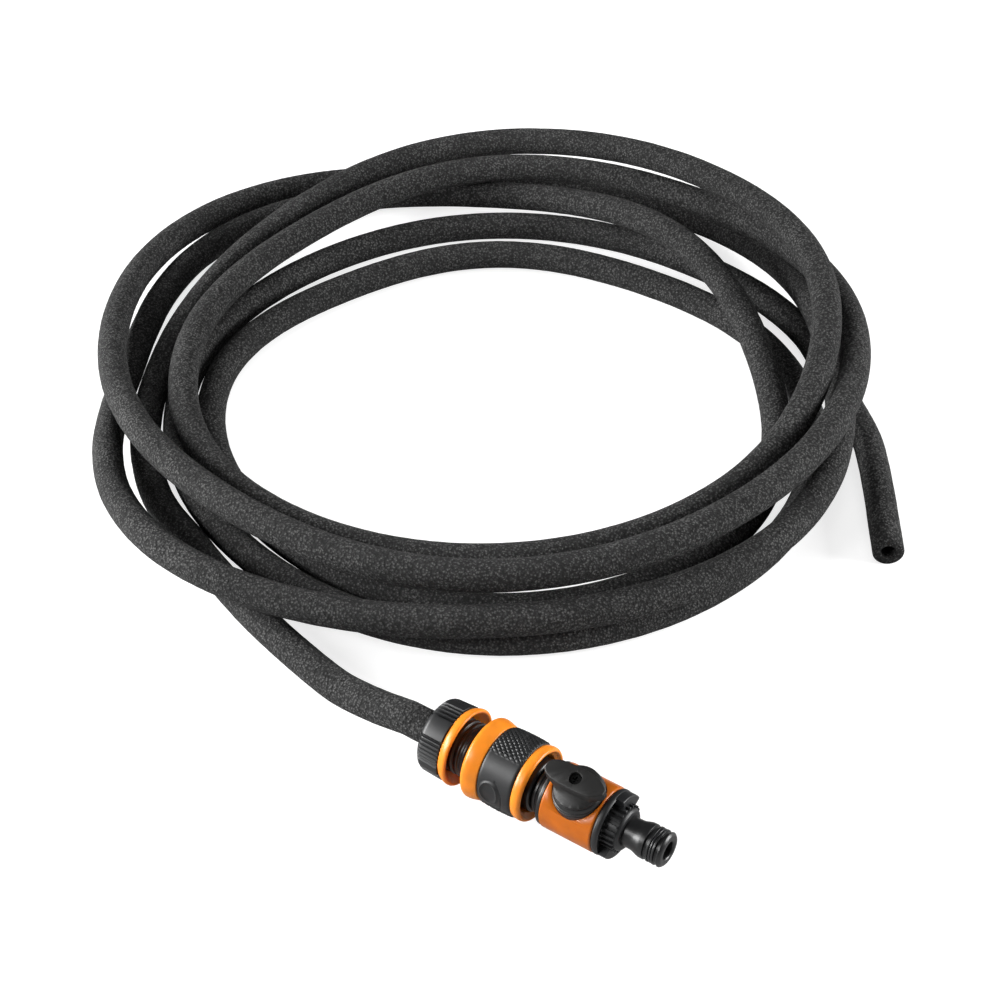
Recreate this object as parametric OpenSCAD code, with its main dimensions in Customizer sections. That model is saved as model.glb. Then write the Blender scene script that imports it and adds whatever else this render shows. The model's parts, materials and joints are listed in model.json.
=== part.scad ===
// Soaker hose: porous hose in a loose coil, with a quick connector, a ball valve and an inlet nipple.
// The flow axis of the fittings runs along X. Water enters at the nipple, at +X, and leaves by the hose.
// The origin is on the ground, under the middle of the fittings.

/* [Hose] */
// Outside diameter of the porous hose
hose_d = 16; // [15:0.5:16.5]
// Bore of the porous hose
hose_bore = 7.6; // [7:0.1:9]
// Length of straight hose behind the nut
hose_straight = 15; // [13:1:20]

/* [Nut] */
// Length of the orange nut
nut_len = 17.6; // [17:0.2:20]
// Length of its black grip
nut_grip_len = 12.8; // [12:0.2:14]
// Diameter of the grip
nut_grip_d = 36; // [35.5:0.5:38]
// Diameter of the flared lip
nut_lip_d = 37.4; // [36:0.2:38.4]
// Number of rib groups round the grip, each with bold and fine grooves
rib_groups = 3; // [2:1:4]
// Bold grooves in one group
bold_ribs = 4; // [3:1:5]
// Fine grooves in one group
fine_ribs = 7; // [5:1:8]

/* [Connector] */
// Outside diameter of the thread under the nut
thread_d = 25.8; // [25.4:0.2:26.2]
// Thread pitch
thread_pitch = 3; // [2:0.5:4]
// Length of thread that shows between the nut and the release sleeve
thread_show = 7.7; // [7.4:0.1:9]
// Bore of the barb that the hose is pushed on
barb_bore = 5.6; // [4:0.2:6]
// Diameter of the socket that takes the valve's nipple
socket_d = 16.9; // [16.8:0.1:17.4]
// Wall of the socket
socket_wall = 3.85; // [3.7:0.05:4.1]

/* [Release sleeve] */
// Diameter of the orange ring at the rear
ring_d = 38.4; // [37.4:0.2:40]
// Length of that ring
ring_len = 8.7; // [8:0.1:10]
// Length of the black grip
sleeve_grip_len = 17.6; // [17:0.2:20]
// Diameter of the black grip
sleeve_grip_d = 35.6; // [34.6:0.2:36.4]
// Length of the orange ring at the mouth
mouth_len = 5.1; // [4.8:0.1:6]
// Diameter of the orange ring at the mouth
mouth_d = 35.6; // [35:0.2:37]
// Opening of the mouth
mouth_bore = 32; // [31:0.1:32.6]
// Gap between the mouth and the valve's collar
mouth_gap = 6; // [5:0.2:7]
// Travel of the sleeve
sleeve_travel = 5; // [3:0.5:5]
// Wire of the sleeve's spring
wire_d = 1; // [0.8:0.1:1.1]
// Curls of the spring
curls = 6; // [4:1:6]

/* [Valve] */
// Diameter of the orange valve shell
shell_d = 30.8; // [30:0.2:33]
// Wall of the shell
shell_wall = 1.8; // [1.4:0.1:2.2]
// Length of the shell
shell_len = 26.5; // [26.2:0.1:30]
// Length of the black collar in front of the shell
collar_len = 2.4; // [2:0.1:4]
// Bore of the waterway
waterway_d = 8.4; // [7.4:0.2:9]
// Diameter of the ball
ball_d = 15.2; // [14.6:0.2:16]
// Diameter of the stem
stem_d = 6; // [5:0.2:6.4]
// Diameter of the round saddle under the handle
saddle_d = 23.6; // [22:0.2:24.4]
// Height of the saddle above the flow axis
saddle_h = 17.2; // [16.8:0.1:18]
// Lean of the handle from upright
handle_lean = 17; // [0:1:30]

/* [Handle] */
// Length of the handle's top
handle_len = 30; // [26:0.5:32]
// Width of the handle's top
handle_w = 13; // [12:0.5:16]
// Height of the handle's top above the flow axis
handle_h = 26.2; // [26:0.1:28]
// Thickness of the top
handle_top = 4; // [3.6:0.1:5]
// Diameter of the screw head
screw_d = 4.8; // [4.2:0.1:5.6]

/* [Inlet] */
// Length of the end cap to the front of its wings
cap_len = 6.8; // [6:0.1:8]
// Diameter of the nipple
nipple_d = 16.3; // [15.8:0.1:16.4]
// Diameter of the neck behind it
neck_d = 13.8; // [13.2:0.1:14.2]
// Length from the wings to the tip of the nipple
nipple_len = 23.2; // [23:0.1:28]
// Seal ring on the nipple, its section
seal_w = 2; // [1.6:0.1:2.2]

/* [Coil] */
// Middle of the coil, from the origin
coil_at = [-206.8, 248.7];
// Rings of points in one loop
loop_rings = 24; // [16:8:48]

/* [Hidden] */
$fn = 64;

// Clearances: running fit, seated fit, and free play between bodies
run = 0.08;
seat = 0.05;
play = 0.3;
eps = 0.01;

// Stations along the flow axis, measured from the rear of the nut
nut_front = nut_len;
sleeve_rear = nut_front + thread_show;
ring_end = sleeve_rear + ring_len;
grip_end = ring_end + sleeve_grip_len;
mouth = grip_end + mouth_len;
collar_at = mouth + mouth_gap;
shell_at = collar_at + collar_len;
shell_end = shell_at + shell_len;
cap_end = shell_end + cap_len;
tip = cap_end + nipple_len;
shell_bridge = 1.2;
handle_at = shell_end - shell_bridge - saddle_d / 2;

// The rear ring lies on the ground, so it sets the height of the flow axis
axis_h = ring_d / 2;

// Connector
thread_r = thread_d / 2;
socket_r = socket_d / 2;
socket_out = socket_r + socket_wall;
barb_in = barb_bore / 2;
barb_out = hose_bore / 2 - seat;
barb_at = 6.6;
barb_pitch = 3.2;
barb_teeth = 3;
hose_stop = nut_len + 2.4;
thread_at = 8.5;
web_end = sleeve_rear - 0.9;
guide_r = thread_r + 0.25;
guide_end = ring_end + 0.8;
spring_end = guide_end + 13;
spring_bed = socket_out - 1.4;
socket_at = web_end + 13.5;
front = mouth + 1.2;
jaw_at = mouth - 7.2;
jaw_len = 4;
jaw_w = 7;
jaw_r = socket_r - 1.1;

// Release sleeve: its bore opens towards the mouth, which lets the jaws out as it moves back
cam_at = jaw_at - 1.5;
cam_end = jaw_at + jaw_len + 1;
cam_r = socket_out + 0.1;
cam_slope = 0.25;
sleeve_bore = guide_r + run;
core_r = sleeve_grip_d / 2 - 1.6;
pad_at = ring_end + 6.5;
pad_r = 4.2;
pad_turn = -2;

// Nut
nut_core_r = nut_grip_d / 2 - 2.6;
nut_bore = thread_r + run;
hose_r = hose_d / 2;
collet_out = thread_r - 1.5;
collet_at = 3.6;
collet_end = 12.2;

// Valve
shell_r = shell_d / 2;
valve_r = shell_r - shell_wall - seat;
plug_r = socket_r - 0.1;
stop_at = front + 0.5;
stop_r = socket_out - 0.7;
water_r = waterway_d / 2;
ball_r = ball_d / 2;
chamber_r = ball_r + 1.6;
seat_len = 4.5;
seat_gap = ball_r - 2.1;
stem_r = stem_d / 2;
stem_low = ball_r - 1.4;
flange_low = chamber_r + 0.4;
flange_high = flange_low + 1.8;
seal_low = flange_high + 2.4;
stem_high = saddle_h + 4.4;
saddle_r = saddle_d / 2;
plug_seal = 0.85;
plug_seal_r = socket_r - 0.05 - plug_seal;

// Inlet
nipple_r = nipple_d / 2;
neck_r = neck_d / 2;
rim_end = shell_end + 3.4;
hub_end = cap_end + 3.4;
hub_r = neck_r + 3.5;
spigot_at = handle_at + seat_gap + seat_len + run;
hub_ribs = 24;
nipple_at = tip - 11.5;
groove_at = nipple_at + 2.6;
groove_pitch = 2.7;
groove_w = 1.7;
seal_groove = 1;
seal_r = 0.36 * seal_w;
seal_deep = 0.8 * seal_w;

// Screw
screw_r = screw_d / 2;
screw_low = handle_h - 2.8;

// Route of the lead from the nut to the coil, and of the tail from the coil to its open end
lead_route = [[-97, 1.5, 14], [-120, 5, 9], [-141, 9.5, 8], [-165.5, 15.5, 8], [-189.5, 22.5, 8]];
tail_route = [[-9.8, 315.7, 8], [4.2, 297.7, 8], [17.2, 278.7, 8], [30, 259, 8]];
tail_end = [43, 239, 8];

// The coil: how far each loop reaches from its middle, and how high it lies, at every eighth of a
// turn, one row a loop. The first eighth lies towards coil_from, and the loops run clockwise.
coil_from = 260;
coil_reach = [
    [209, 184, 180, 214, 192, 181, 179, 177],
    [178, 166, 160, 181, 191, 196, 200, 208],
    [196, 208, 229, 204, 200, 185, 212, 221],
    [232, 201, 212, 178, 146, 147, 182, 194],
    [171, 149, 120, 120, 128, 165, 203, 215],
    [191, 167, 150, 152, 162, 187]];
coil_rise = [
    [0, 0, 16, 22, 40, 47, 26, 17],
    [18, 17, 18, 23, 22, 34, 37, 34],
    [28, 19, 6, 0, 2, 20, 16, 17],
    [17, 1, 0, 6, 26, 15, 0, 0],
    [0, 0, 0, 0, 0, 0, 0, 0],
    [0, 0, 0, 0, 0, 0]];

// ---- Helpers ----

// Everything turned on the flow axis is drawn along Z from the rear of the nut, and laid along X here
module on_axis() translate([-tip / 2, 0, axis_h]) rotate([0, 90, 0]) children();

// A ring or shaft with the outline of [radius, station] points
module turned(outline) on_axis() rotate_extrude() polygon(outline);

// The stem's axis, with Z along it and its foot on the flow axis
module on_stem() translate([handle_at - tip / 2, 0, axis_h]) rotate([handle_lean, 0, 0]) children();

module post(low, high, r) translate([0, 0, low]) cylinder(r = r, h = high - low);

// A tube round low to high between two radii
module ring(low, high, inner, outer) difference() {
    post(low, high, outer);
    post(low - 1, high + 1, inner);
}

// A seal ring about Z
module seal(mid, section) rotate_extrude() translate([mid, 0]) circle(r = section, $fn = 24);

function unit(v) = v / norm(v);
function flat(rows) = [for (row = rows) each row];

// Corners of the round section at point i of a route
function section(route, i, r, sides) =
    let (last = len(route) - 1,
         along = unit(route[min(i + 1, last)] - route[max(i - 1, 0)]),
         side = unit(cross(along, [0, 0, 1])),
         up = cross(side, along))
    [for (k = [0 : sides - 1]) route[i] + r * (sin(360 * k / sides) * side - cos(360 * k / sides) * up)];

// A solid swept along a route, with triangles all over
module swept(route, r, sides) {
    rings = len(route);
    corners = [for (i = [0 : rings - 1]) each section(route, i, r, sides)];
    walls = [for (i = [0 : rings - 2], k = [0 : sides - 1])
        let (a = i * sides + k, b = i * sides + (k + 1) % sides)
        each [[a, a + sides, b], [b, a + sides, b + sides]]];
    near_cap = [for (k = [1 : sides - 2]) [0, k, k + 1]];
    far_first = (rings - 1) * sides;
    far_cap = [for (k = [1 : sides - 2]) [far_first, far_first + k + 1, far_first + k]];
    polyhedron(points = corners, faces = concat(walls, near_cap, far_cap));
}

// Smooth curve through a row of values, at s steps from the first
function smooth(row, s) =
    let (last = len(row) - 1,
         i = min(floor(s), last - 1),
         t = s - i,
         a = row[max(i - 1, 0)],
         b = row[i],
         c = row[i + 1],
         d = row[min(i + 2, last)])
    (2 * b + (c - a) * t + (2 * a - 5 * b + 4 * c - d) * t ^ 2 + (3 * b - a - 3 * c + d) * t ^ 3) / 2;

// A point of the coil, s eighths of a turn from its start
reaches = flat(coil_reach);
rises = flat(coil_rise);
function coil_point(s) =
    let (reach = smooth(reaches, s), turn = coil_from - 45 * s)
    [coil_at.x + reach * cos(turn), coil_at.y + reach * sin(turn), hose_r + max(0, smooth(rises, s))];

coil_eighths = len(reaches) - 1;
ring_step = 8 / loop_rings;
coil_turns = [for (i = [0 : coil_eighths / ring_step]) coil_point(i * ring_step)];
coil_last = len(coil_turns) - 1;

// Both ends of the coil run straight for one diameter
start_run = unit([for (k = [0 : 1]) coil_turns[0][k] - coil_turns[1][k], 0]);
end_run = unit([for (k = [0 : 1]) coil_turns[coil_last][k] - coil_turns[coil_last - 1][k], 0]);
coil_start = coil_turns[0] + hose_d * start_run;
coil_end = coil_turns[coil_last] + hose_d * end_run;
coil_route = concat([coil_start], coil_turns, [coil_end]);

// The lead and the tail meet the coil face to face, and leave it along the same line
hose_mouth = [hose_stop - tip / 2, 0, axis_h];
lead_bend = [-hose_straight - tip / 2, 0, axis_h];
lead_all = concat([hose_mouth, lead_bend - [-2, 0, 0], lead_bend], lead_route,
    [coil_start + hose_d * start_run, coil_start]);
tail_run = unit(tail_end - tail_route[len(tail_route) - 1]);
tail_all = concat([coil_end, coil_end + hose_d * end_run], tail_route, [tail_end - 2 * tail_run, tail_end]);

// Least gap of the coil to itself, from each point to the nearby lengths of the other loops
function length_gap(p, a, b) =
    let (along = b - a, t = min(1, max(0, (p - a) * along / (along * along))))
    norm(p - a - t * along);
coil_gap = min([for (i = [0 : coil_last], turns = [1 : len(coil_reach)], k = [-4 : 3])
    let (j = i + turns * loop_rings + k)
    if (j >= 0 && j < coil_last) length_gap(coil_turns[i], coil_turns[j], coil_turns[j + 1])]) - hose_d;
function route_length(route) = len(route) < 2 ? 0
    : norm(route[1] - route[0]) + route_length([for (i = [1 : len(route) - 1]) route[i]]);
echo(least_gap_of_coil = coil_gap);
echo(coil_ends = [coil_start, start_run, coil_end, end_run]);
echo(hose_length = [route_length(lead_all), route_length(coil_route), route_length(tail_all)]);

// ---- Nut, on the hose side of the connector ----

module union_nut() color("darkorange") turned([
    [hose_r + 0.6, 1.3], [nut_core_r - 1, 1.3], [nut_core_r, 2.3], [nut_core_r, nut_grip_len + seat],
    [nut_lip_d / 2 - 1.5, nut_grip_len + seat], [nut_lip_d / 2, nut_grip_len + 1.6],
    [nut_lip_d / 2, nut_front - 1], [nut_lip_d / 2 - 0.8, nut_front],
    [nut_lip_d / 2 - 1.6, nut_front], [nut_bore + 1.4, nut_front - 3], [nut_bore, nut_front - 4.6],
    [nut_bore, 6.6], [hose_r + 1.5, 3.1], [hose_r + 0.6, 3.1]]);

// Grooves along the nut, one after another from a first turn
module grooves(count, first, step, r, deep)
    for (group = [0 : rib_groups - 1], rib = [0 : count - 1])
        on_axis() rotate([0, 0, first + 360 * group / rib_groups + step * rib])
            translate([nut_grip_d / 2 + r - deep, 0, -1]) cylinder(r = r, h = nut_grip_len + 2, $fn = 16);

module nut_grip() color([0.09, 0.09, 0.1]) difference() {
    turned([
        [hose_r + 1.6, 0], [nut_grip_d / 2 - 3, 0], [nut_grip_d / 2 - 0.4, 2.2],
        [nut_grip_d / 2, nut_grip_len], [nut_core_r + seat, nut_grip_len],
        [nut_core_r + seat, 2.3 + seat], [nut_core_r - 1 + seat, 1.3 - seat], [hose_r + 1.6, 1.3 - seat]]);
    grooves(bold_ribs, 171, 7.5, 1.2, 0.7);
    grooves(fine_ribs, 231, 6.5, 0.8, 0.4);
}

module hose_collet() color([0.12, 0.12, 0.12]) difference() {
    turned([
        [hose_r + 0.1, collet_at], [hose_r + 1.2, collet_at], [collet_out - play, collet_at + 3.2],
        [collet_out - play, collet_end], [hose_r + 0.1, collet_end]]);
    for (slot = [0 : 5])
        on_axis() rotate([0, 0, 60 * slot + 30]) translate([hose_r - 1, -0.6, collet_at - 1])
            cube([6, 1.2, 6.4]);
}

// ---- Connector ----

module connector_body() color([0.08, 0.08, 0.09]) difference() {
    turned(concat(
        [[barb_in, barb_at - 1.8], [barb_out - 0.6, barb_at - 1.8], [barb_out, barb_at]],
        [for (tooth = [0 : barb_teeth - 1])
            let (low = barb_at + barb_pitch * tooth)
            each [[barb_out - 0.4, low + 0.2], [barb_out, low + barb_pitch]]],
        [[barb_out, hose_stop + eps], [hose_r + 0.2, hose_stop + eps], [hose_r + 0.2, collet_end + play],
         [collet_out, collet_end + play], [collet_out, thread_at], [thread_r - 0.7, thread_at]],
        [for (turn = [0 : floor((web_end - thread_at) / thread_pitch) - 1])
            let (low = thread_at + turn * thread_pitch)
            each [[thread_r - 0.7, low + 0.6], [thread_r, low + 1.1], [thread_r, low + 2.1],
                  [thread_r - 0.7, low + 2.6]]],
        [[thread_r - 0.7, web_end + 0.5], [guide_r - 0.6, web_end + 0.5], [guide_r, web_end + 1.1],
         [guide_r, guide_end], [spring_bed, guide_end], [spring_bed, spring_end],
         [socket_out, spring_end + 1], [socket_out, front - 1], [socket_out - 1, front],
         [socket_r + 0.8, front], [socket_r, front - 0.8], [socket_r, socket_at],
         [water_r, socket_at], [water_r, web_end + 1], [barb_in, hose_stop - 1]]));
    for (side = [-1, 1])
        on_axis() translate([-jaw_w / 2 - seat, side > 0 ? socket_r - 3 : -socket_out - 1, jaw_at - seat])
            cube([jaw_w + 2 * seat, socket_wall + 4, jaw_len + 2 * seat]);
}

// A jaw drops into the groove of the valve's nipple, and its back follows the sleeve's cone
module jaw(side) color([0.16, 0.16, 0.17]) difference() {
    intersection() {
        turned([
            [jaw_r, jaw_at - 1], [cam_r - 0.15 + (jaw_at - 1 - cam_at) * cam_slope, jaw_at - 1],
            [cam_r - 0.15 + (jaw_at + jaw_len + 1 - cam_at) * cam_slope, jaw_at + jaw_len + 1],
            [jaw_r, jaw_at + jaw_len + 1]]);
        on_axis() translate([-jaw_w / 2, side > 0 ? 0 : -20, jaw_at]) cube([jaw_w, 20, jaw_len]);
    }
    on_axis() translate([0, 0, jaw_at + 2.6]) cylinder(r1 = jaw_r - 1, r2 = jaw_r + 1.4, h = 2.4 + eps);
}
module jaw_near() jaw(-1);
module jaw_far() jaw(1);

// ---- Release sleeve ----

module release_sleeve() color("darkorange") turned([
    [sleeve_bore + 1.2, sleeve_rear], [ring_d / 2 - 1.6, sleeve_rear], [ring_d / 2, sleeve_rear + 1.4],
    [ring_d / 2, sleeve_rear + 3.8], [ring_d / 2 - 1.2, ring_end], [core_r, ring_end],
    [core_r, grip_end], [mouth_d / 2 - 0.4, grip_end], [mouth_d / 2, grip_end + 1.6],
    [mouth_d / 2, mouth - 1.6], [mouth_d / 2 - 0.8, mouth], [mouth_bore / 2, mouth],
    [cam_r + (cam_end - cam_at) * cam_slope, cam_end], [cam_r, cam_at], [cam_r, spring_end],
    [sleeve_bore, spring_end], [sleeve_bore, sleeve_rear + 1.2]]);

module sleeve_grip() color([0.1, 0.1, 0.11]) union() {
    turned([
        [core_r + seat, ring_end + seat], [sleeve_grip_d / 2 - 0.8, ring_end + seat],
        [sleeve_grip_d / 2, ring_end + 0.8], [sleeve_grip_d / 2, grip_end - 0.8],
        [sleeve_grip_d / 2 - 0.8, grip_end - seat], [core_r + seat, grip_end - seat]]);
    // Oval pad on each side, proud of the grip
    for (side = [0, 180])
        intersection() {
            on_axis() rotate([0, 0, side + pad_turn]) rotate([90, 0, 0])
                linear_extrude(30) translate([0, pad_at]) union() {
                    for (shift = [-1.4, 1.4]) translate([0, shift]) circle(r = pad_r);
                    translate([-pad_r, -1.4]) square([2 * pad_r, 2.8]);
                }
            turned([
                [sleeve_grip_d / 2 - 0.5, ring_end + 0.4], [sleeve_grip_d / 2 + 0.45, ring_end + 0.4],
                [sleeve_grip_d / 2 + 0.45, ring_end + 15], [sleeve_grip_d / 2 - 0.5, ring_end + 15]]);
        }
}

module sleeve_spring() color("silver") {
    spring_r = sleeve_bore - wire_d / 2 - 0.15;
    low = guide_end + wire_d / 2 + 0.05;
    high = spring_end - wire_d / 2 - 0.05;
    steps = curls * 8;
    on_axis() swept_coil([for (i = [0 : steps])
        [spring_r * cos(45 * i), spring_r * sin(45 * i), low + (high - low) * i / steps]], wire_d / 2);
}

// Wire swept round Z, with six sides
module swept_coil(route, r) {
    rings = len(route);
    corners = [for (p = route, k = [0 : 5])
        let (out = unit([p.x, p.y, 0])) p + r * (cos(60 * k) * out + [0, 0, sin(60 * k)])];
    walls = [for (i = [0 : rings - 2], k = [0 : 5])
        let (a = i * 6 + k, b = i * 6 + (k + 1) % 6) each [[a, a + 6, b], [b, a + 6, b + 6]]];
    first = (rings - 1) * 6;
    caps = [for (k = [1 : 4]) each [[0, k, k + 1], [first, first + k + 1, first + k]]];
    polyhedron(points = corners, faces = concat(walls, caps));
}

// ---- Valve ----

module valve_body() color([0.08, 0.08, 0.09]) difference() {
    union() {
        turned([
            [water_r, socket_at + 1], [plug_r - 0.8, socket_at + 1], [plug_r, socket_at + 1.8],
            [plug_r, socket_at + 4], [plug_r - 1.8, socket_at + 4], [plug_r - 1.8, socket_at + 6.2],
            [plug_r, socket_at + 6.2], [plug_r, jaw_at - 0.4], [jaw_r - play, jaw_at - 0.4],
            [jaw_r - play, jaw_at + jaw_len + 0.4], [plug_r, jaw_at + jaw_len + 1.2],
            [plug_r, stop_at], [stop_r - 0.6, stop_at], [stop_r, stop_at + 0.6], [stop_r, collar_at],
            [shell_r - 1.2, collar_at], [shell_r - 0.4, collar_at + 0.8],
            [shell_r - 0.4, shell_at - seat], [valve_r, shell_at - seat], [valve_r, shell_end - seat],
            [chamber_r, shell_end - seat], [chamber_r, handle_at - seat_gap - seat_len],
            [water_r, handle_at - seat_gap - seat_len]]);
        on_stem() post(chamber_r + 0.4, saddle_h, saddle_r);
    }
    on_axis() post(handle_at - seat_gap - seat_len, shell_end + 1, chamber_r);
    on_stem() post(0, saddle_h + 1, stem_r + run);
    on_stem() post(0, flange_high + run, stem_r + 1.5);
    on_stem() post(seal_low, seal_low + 1.8, stem_r + 1.8);
}

module valve_shell() color("darkorange") difference() {
    turned([
        [valve_r + seat, shell_at], [shell_r - 0.3, shell_at], [shell_r, shell_at + 0.4],
        [shell_r, shell_end - 0.6], [shell_r - 0.5, shell_end - seat], [valve_r + seat, shell_end - seat]]);
    on_stem() post(0, saddle_h + 4, saddle_r + seat);
}

module outlet_seal() color([0.03, 0.03, 0.03])
    on_axis() translate([0, 0, socket_at + 5.1]) seal(plug_seal_r, plug_seal);

module ball() color("gainsboro") difference() {
    on_stem() sphere(r = ball_r);
    on_axis() post(handle_at - ball_r - 1, handle_at + ball_r + 1, water_r);
    on_stem() translate([-ball_r, -1.1 - seat, stem_low - seat]) cube([2 * ball_r, 2.2 + 2 * seat, ball_r]);
}

// A seat's cup faces the ball
module ball_seat(low) color("white") difference() {
    on_axis() ring(low, low + seat_len, water_r + 0.2, chamber_r - seat);
    on_stem() sphere(r = ball_r + run);
}
module outlet_seat() ball_seat(handle_at - seat_gap - seat_len + seat);
module inlet_seat() ball_seat(handle_at + seat_gap - seat);

module valve_stem() color([0.75, 0.7, 0.5]) on_stem() difference() {
    union() {
        post(flange_low, stem_high, stem_r);
        post(flange_low, flange_high, stem_r + 1.2);
        intersection() {
            translate([-ball_r, -1.1, stem_low]) cube([2 * ball_r, 2.2, flange_low - stem_low + 0.5]);
            post(0, flange_low + 1, stem_r + 0.4);
        }
    }
    post(stem_high - 5, stem_high + 1, screw_r / 2 + 0.02);
}

module stem_seal() color([0.03, 0.03, 0.03]) on_stem()
    translate([0, 0, seal_low + 0.9]) seal(stem_r + 0.05 + 0.8, 0.8);

// ---- Handle ----

module handle_outline() polygon([
    [-handle_len / 2, -1.6], [-handle_len / 2, 1.6], [-handle_len * 0.34, handle_w / 2 - 0.6],
    [-handle_len * 0.26, handle_w / 2], [handle_len * 0.28, handle_w / 2],
    [handle_len * 0.4, handle_w / 2 - 1.4],
    [handle_len / 2 - 0.4, 2.4], [handle_len / 2 - 0.4, -2.4], [handle_len * 0.4, 1.4 - handle_w / 2],
    [handle_len * 0.28, -handle_w / 2], [-handle_len * 0.26, -handle_w / 2],
    [-handle_len * 0.34, 0.6 - handle_w / 2]]);

module handle() color([0.1, 0.1, 0.11]) on_stem() difference() {
    union() {
        translate([0, 0, handle_h - handle_top]) linear_extrude(handle_top) handle_outline();
        post(saddle_h + play, saddle_h + play + 1.4, saddle_r - 0.6);
        // Flanks between the round foot and the long top
        hull() {
            translate([0, 0, handle_h - handle_top + 0.5])
                linear_extrude(0.5) scale([0.93, 0.9]) handle_outline();
            translate([0, 0, saddle_h + play + 1.3])
                cylinder(r = handle_w / 2 + 1.5, h = 0.3, $fn = 32);
        }
    }
    post(saddle_h - 1, stem_high + 0.1, stem_r + seat);
    post(saddle_h, handle_h + 1, screw_r / 2 + 0.15);
    post(screw_low, handle_h + 1, screw_r + 0.1);
}

module handle_screw() color("dimgray") on_stem() difference() {
    union() {
        post(screw_low + seat, screw_low + 1.6, screw_r);
        post(stem_high - 4.5, screw_low + 0.2, screw_r / 2);
    }
    for (turn = [0, 90])
        rotate([0, 0, turn]) translate([-1.4, -0.35, screw_low + 0.8]) cube([2.8, 0.7, 2]);
}

// ---- Inlet ----

// A rim, two wings for fingers or a wrench, and a ribbed hub that holds the nipple's neck
module end_cap() color([0.1, 0.1, 0.12]) union() {
    turned([
        [neck_r + seat, spigot_at], [chamber_r - seat, spigot_at], [chamber_r - seat, shell_end],
        [shell_r - 0.8, shell_end], [shell_r, shell_end + 0.8],
        [shell_r, rim_end - 1], [shell_r - 0.8, rim_end],
        [shell_r - 1.6, rim_end - 0.6], [hub_r, rim_end - 1.4], [hub_r - 0.4, hub_end - 1],
        [hub_r - 1.4, hub_end], [neck_r + seat, hub_end]]);
    for (side = [0, 180])
        on_axis() rotate([0, 0, side + 148]) intersection() {
            ring(rim_end - 2, cap_end, hub_r - 0.6, shell_r - 0.3);
            translate([0, -7.5, 0]) cube([shell_r, 15, cap_end + 1]);
        }
    for (rib = [0 : hub_ribs - 1])
        on_axis() rotate([0, 0, 360 * rib / hub_ribs + 4]) translate([hub_r - 1.2, -0.45, rim_end - 2])
            cube([1.9, 0.9, hub_end - rim_end]);
}

module inlet_nipple() color([0.08, 0.08, 0.09]) turned(concat(
    [[water_r, spigot_at + 0.1], [neck_r, spigot_at + 0.1], [neck_r, nipple_at - 3],
     [nipple_r - 0.4, nipple_at - 0.6], [nipple_r, nipple_at]],
    [for (groove = [0 : 2])
        let (low = groove_at + groove_pitch * groove, deep = groove == seal_groove ? seal_deep : 1.2)
        each [[nipple_r, low], [nipple_r - deep, low + 0.1],
              [nipple_r - deep, low + groove_w - 0.1], [nipple_r, low + groove_w]]],
    [[nipple_r, tip - 1.4], [nipple_r - 1.4, tip], [water_r + 0.4, tip], [water_r, tip - 0.4]]));

module inlet_seal() color([0.03, 0.03, 0.03]) on_axis()
    translate([0, 0, groove_at + seal_groove * groove_pitch + groove_w / 2])
        seal(nipple_r - seal_deep + seal_r + seat, seal_r);

// ---- Hose ----

module hose_lead() color([0.13, 0.13, 0.14]) difference() {
    swept(lead_all, hose_r, 12);
    on_axis() post(-8, hose_stop + 1, hose_bore / 2);
}

module hose_coil() color([0.13, 0.13, 0.14]) swept(coil_route, hose_r, 6);

module hose_tail() color([0.13, 0.13, 0.14]) difference() {
    swept(tail_all, hose_r, 12);
    translate(tail_end - 14 * tail_run) rotate([0, 0, atan2(tail_run.y, tail_run.x)]) rotate([0, 90, 0])
        cylinder(r = hose_bore / 2, h = 16);
}

union_nut();
nut_grip();
hose_collet();
connector_body();
jaw_near();
jaw_far();
release_sleeve();
sleeve_grip();
sleeve_spring();
valve_body();
valve_shell();
outlet_seal();
ball();
inlet_seat();
outlet_seat();
valve_stem();
stem_seal();
handle();
handle_screw();
end_cap();
inlet_nipple();
inlet_seal();
hose_lead();
hose_coil();
hose_tail();
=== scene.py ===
"""Soaker hose: the looks of a coiled porous hose and its quick connector, ball valve and inlet nipple.

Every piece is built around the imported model, in metres. Lengths along the fittings are stations, in
millimetres from the rear face of the nut towards the nipple.
"""

import json
import math

import bmesh
import bpy
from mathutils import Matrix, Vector, noise


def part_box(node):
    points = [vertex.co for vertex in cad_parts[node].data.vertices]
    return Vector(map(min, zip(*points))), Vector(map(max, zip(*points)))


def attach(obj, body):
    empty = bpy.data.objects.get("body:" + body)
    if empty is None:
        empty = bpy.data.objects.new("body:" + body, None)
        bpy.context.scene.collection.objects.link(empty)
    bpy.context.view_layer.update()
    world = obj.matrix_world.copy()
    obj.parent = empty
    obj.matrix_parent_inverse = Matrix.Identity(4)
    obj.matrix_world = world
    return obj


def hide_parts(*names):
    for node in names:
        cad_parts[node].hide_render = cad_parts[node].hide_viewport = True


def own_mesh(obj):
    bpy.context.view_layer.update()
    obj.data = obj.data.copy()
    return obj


bl_info = {
    "name": "Soaker Hose",
    "version": (1, 0, 0),
    "blender": (4, 5, 0),
    "location": "View3D > Sidebar > Soaker Hose",
    "description": "Builds a coiled porous hose with its quick connector, valve and nipple",
    "category": "Add Mesh",
}

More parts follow.
